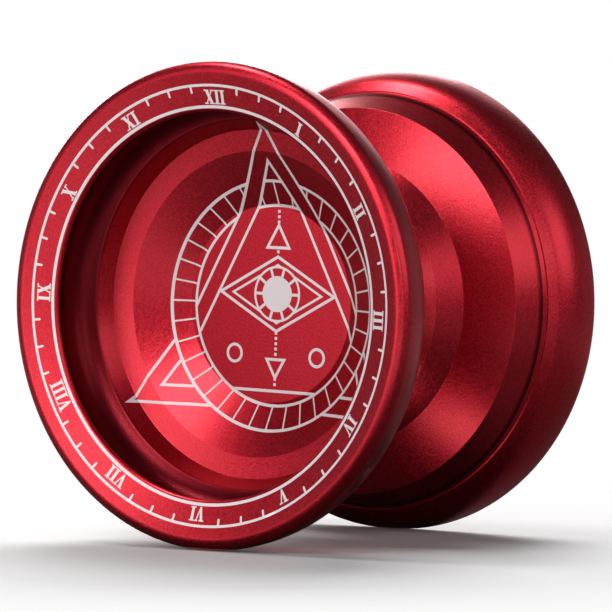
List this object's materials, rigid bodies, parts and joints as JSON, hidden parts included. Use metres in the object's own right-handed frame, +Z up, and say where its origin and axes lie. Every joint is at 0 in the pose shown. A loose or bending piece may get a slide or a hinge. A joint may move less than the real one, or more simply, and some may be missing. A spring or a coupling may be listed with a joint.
{
  "type": "yo-yo",
  "caption": "Metal yo-yo with two stepped, deeply cupped halves on a screwed axle, a shielded ball bearing in the string gap and a numbered dial ring around each cup.",
  "frame": {"origin": "centre of the bearing, on the spin axis, halfway between the two halves", "axes": "+Y along the spin axis towards the back half, +Z up, +X to the right when the front cup is faced"},
  "size_m": [0.056, 0.0408, 0.056],
  "materials": {
    "anodised_red": "bead-blasted and anodised red, satin",
    "engraving": "laser-engraved through the anodising, pale matt",
    "silicone": "cast silicone, matt",
    "axle_steel": "black-oxide steel screw",
    "bearing_steel": "ground and polished bearing steel",
    "shield_steel": "stamped stainless steel",
    "cage_steel": "spring steel"
  },
  "bodies": {
    "front_half": {"half_front": "anodised_red", "pad_front": "silicone", "axle": "axle_steel"},
    "bearing_core": {"bearing_inner_race": "bearing_steel"},
    "back_half": {"half_back": "anodised_red", "pad_back": "silicone"},
    "bearing_shell": {"bearing_outer_race": "bearing_steel", "shield_front": "shield_steel", "shield_back": "shield_steel", "snap_ring_front": "cage_steel", "snap_ring_back": "cage_steel"},
    "ball_cage": {"bearing_cage": "cage_steel"},
    "ball_1_body": {"ball_1": "bearing_steel"},
    "ball_2_body": {"ball_2": "bearing_steel"},
    "ball_3_body": {"ball_3": "bearing_steel"},
    "ball_4_body": {"ball_4": "bearing_steel"},
    "ball_5_body": {"ball_5": "bearing_steel"},
    "ball_6_body": {"ball_6": "bearing_steel"},
    "ball_7_body": {"ball_7": "bearing_steel"},
    "ball_8_body": {"ball_8": "bearing_steel"},
    "ball_9_body": {"ball_9": "bearing_steel"},
    "ball_10_body": {"ball_10": "bearing_steel"}
  },
  "joints": [
    {"name": "thread_travel", "type": "slide", "parent": "front_half", "child": "bearing_core", "axis": [0, 1, 0], "range_m": [0, 0.00385]},
    {"name": "unscrew", "type": "hinge", "parent": "bearing_core", "child": "back_half", "pos_m": [0, 0, 0], "axis": [0, 1, 0], "range_deg": [0, 1980]},
    {"name": "bearing_spin", "type": "hinge", "parent": "bearing_core", "child": "bearing_shell", "pos_m": [0, 0, 0], "axis": [0, 1, 0], "continuous": true},
    {"name": "cage_orbit", "type": "hinge", "parent": "bearing_core", "child": "ball_cage", "pos_m": [0, 0, 0], "axis": [0, 1, 0], "continuous": true},
    {"name": "ball_1_roll", "type": "hinge", "parent": "ball_cage", "child": "ball_1_body", "pos_m": [0.00476, 0, 0], "axis": [0, 1, 0], "continuous": true},
    {"name": "ball_2_roll", "type": "hinge", "parent": "ball_cage", "child": "ball_2_body", "pos_m": [0.00385, 0, -0.0028], "axis": [0, 1, 0], "continuous": true},
    {"name": "ball_3_roll", "type": "hinge", "parent": "ball_cage", "child": "ball_3_body", "pos_m": [0.00147, 0, -0.00453], "axis": [0, 1, 0], "continuous": true},
    {"name": "ball_4_roll", "type": "hinge", "parent": "ball_cage", "child": "ball_4_body", "pos_m": [-0.00147, 0, -0.00453], "axis": [0, 1, 0], "continuous": true},
    {"name": "ball_5_roll", "type": "hinge", "parent": "ball_cage", "child": "ball_5_body", "pos_m": [-0.00385, 0, -0.0028], "axis": [0, 1, 0], "continuous": true},
    {"name": "ball_6_roll", "type": "hinge", "parent": "ball_cage", "child": "ball_6_body", "pos_m": [-0.00476, 0, 0], "axis": [0, 1, 0], "continuous": true},
    {"name": "ball_7_roll", "type": "hinge", "parent": "ball_cage", "child": "ball_7_body", "pos_m": [-0.00385, 0, 0.0028], "axis": [0, 1, 0], "continuous": true},
    {"name": "ball_8_roll", "type": "hinge", "parent": "ball_cage", "child": "ball_8_body", "pos_m": [-0.00147, 0, 0.00453], "axis": [0, 1, 0], "continuous": true},
    {"name": "ball_9_roll", "type": "hinge", "parent": "ball_cage", "child": "ball_9_body", "pos_m": [0.00147, 0, 0.00453], "axis": [0, 1, 0], "continuous": true},
    {"name": "ball_10_roll", "type": "hinge", "parent": "ball_cage", "child": "ball_10_body", "pos_m": [0.00385, 0, 0.0028], "axis": [0, 1, 0], "continuous": true}
  ],
  "couplings": [
    {"joint": "thread_travel", "follows": "unscrew", "m_per_rad": 0.00011141},
    {"joint": "cage_orbit", "follows": "bearing_spin", "ratio": 0.58333},
    {"joint": "ball_1_roll", "follows": "bearing_spin", "ratio": 2.9167},
    {"joint": "ball_2_roll", "follows": "bearing_spin", "ratio": 2.9167},
    {"joint": "ball_3_roll", "follows": "bearing_spin", "ratio": 2.9167},
    {"joint": "ball_4_roll", "follows": "bearing_spin", "ratio": 2.9167},
    {"joint": "ball_5_roll", "follows": "bearing_spin", "ratio": 2.9167},
    {"joint": "ball_6_roll", "follows": "bearing_spin", "ratio": 2.9167},
    {"joint": "ball_7_roll", "follows": "bearing_spin", "ratio": 2.9167},
    {"joint": "ball_8_roll", "follows": "bearing_spin", "ratio": 2.9167},
    {"joint": "ball_9_roll", "follows": "bearing_spin", "ratio": 2.9167},
    {"joint": "ball_10_roll", "follows": "bearing_spin", "ratio": 2.9167}
  ]
}
